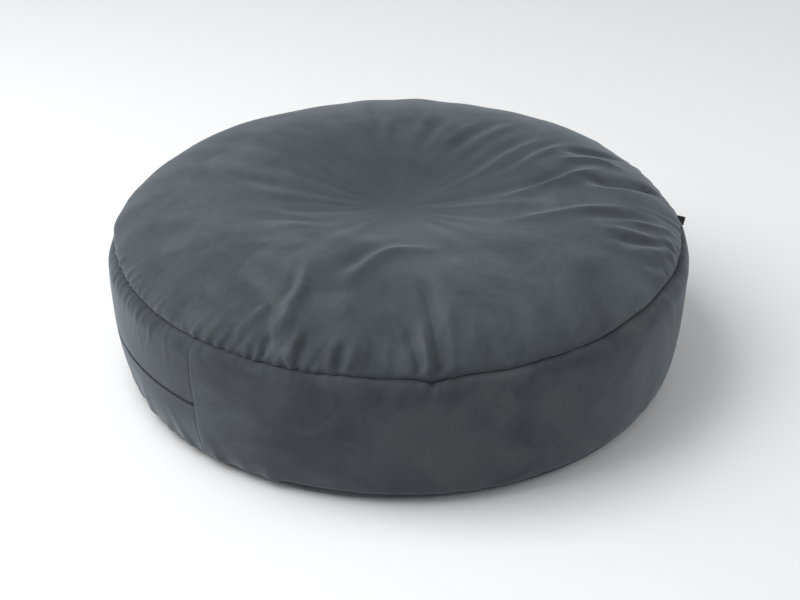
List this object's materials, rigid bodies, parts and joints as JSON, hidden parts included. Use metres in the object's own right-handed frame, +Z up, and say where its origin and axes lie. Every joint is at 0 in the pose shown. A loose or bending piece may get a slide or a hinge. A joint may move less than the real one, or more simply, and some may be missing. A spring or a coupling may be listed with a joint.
{
  "type": "floor cushion",
  "caption": "Round velvet floor cushion with a crowned, dimpled top, a zipped side band and an inner bag filled with beads.",
  "frame": {"origin": "middle of the underside, on the surface that the cushion lies on", "axes": "+Z up, square to the flat underside; azimuths count from +X; the cover's upright zip join is at -131.5 degrees and the side label at +7 degrees"},
  "size_m": [1.037, 1.036, 0.3451],
  "materials": {
    "velvet": "slate grey short-pile velvet, soft sheen, brushed nap",
    "thread": "matching polyester thread",
    "zip_tape": "woven polyester tape",
    "zip_coil": "nylon coil",
    "zip_metal": "black lacquered zinc",
    "woven_label": "black woven satin label, blank",
    "care_label": "white satin tape, blank",
    "lining": "off-white plain-weave lining",
    "liner_zip": "white nylon zip",
    "beads": "expanded polystyrene beads"
  },
  "bodies": {
    "root": {"cover_top_panel": "velvet", "cover_bottom_panel": "velvet", "cover_band_front": "velvet", "cover_band_back": "velvet", "cover_zip_strip_upper": "velvet", "cover_zip_strip_lower": "velvet", "top_seam_thread": "thread", "bottom_seam_thread": "thread", "band_join_thread_front": "thread", "band_join_thread_zip_start": "thread", "band_join_thread_zip_end": "thread", "zip_tape_upper": "zip_tape", "zip_tape_lower": "zip_tape", "zip_coil_upper": "zip_coil", "zip_coil_lower": "zip_coil", "zip_stop_closed": "zip_metal", "zip_stop_open": "zip_metal", "side_label": "woven_label", "care_label": "care_label", "liner_top": "lining", "liner_band": "lining", "liner_bottom": "lining", "liner_zip_tape": "liner_zip", "liner_zip_coil": "liner_zip", "bead_fill": "beads"},
    "zip_slider": {"zip_slider": "zip_metal"},
    "zip_pull": {"zip_pull": "zip_metal"},
    "liner_zip_slider": {"liner_zip_slider": "zip_metal"}
  },
  "joints": [
    {"name": "zip_travel", "type": "hinge", "parent": "root", "child": "zip_slider", "pos_m": [0, 0, 0.125], "axis": [0, 0, 1], "range_deg": [0, 91.7]},
    {"name": "pull_swing", "type": "hinge", "parent": "zip_slider", "child": "zip_pull", "pos_m": [-0.35639, 0.37041, 0.12506], "axis": [-0.0689, 0.0716, 0.9951], "range_deg": [0, 170]},
    {"name": "liner_zip_travel", "type": "hinge", "parent": "root", "child": "liner_zip_slider", "pos_m": [0, 0, 0.15], "axis": [0, 0, 1], "range_deg": [0, 20]}
  ]
}
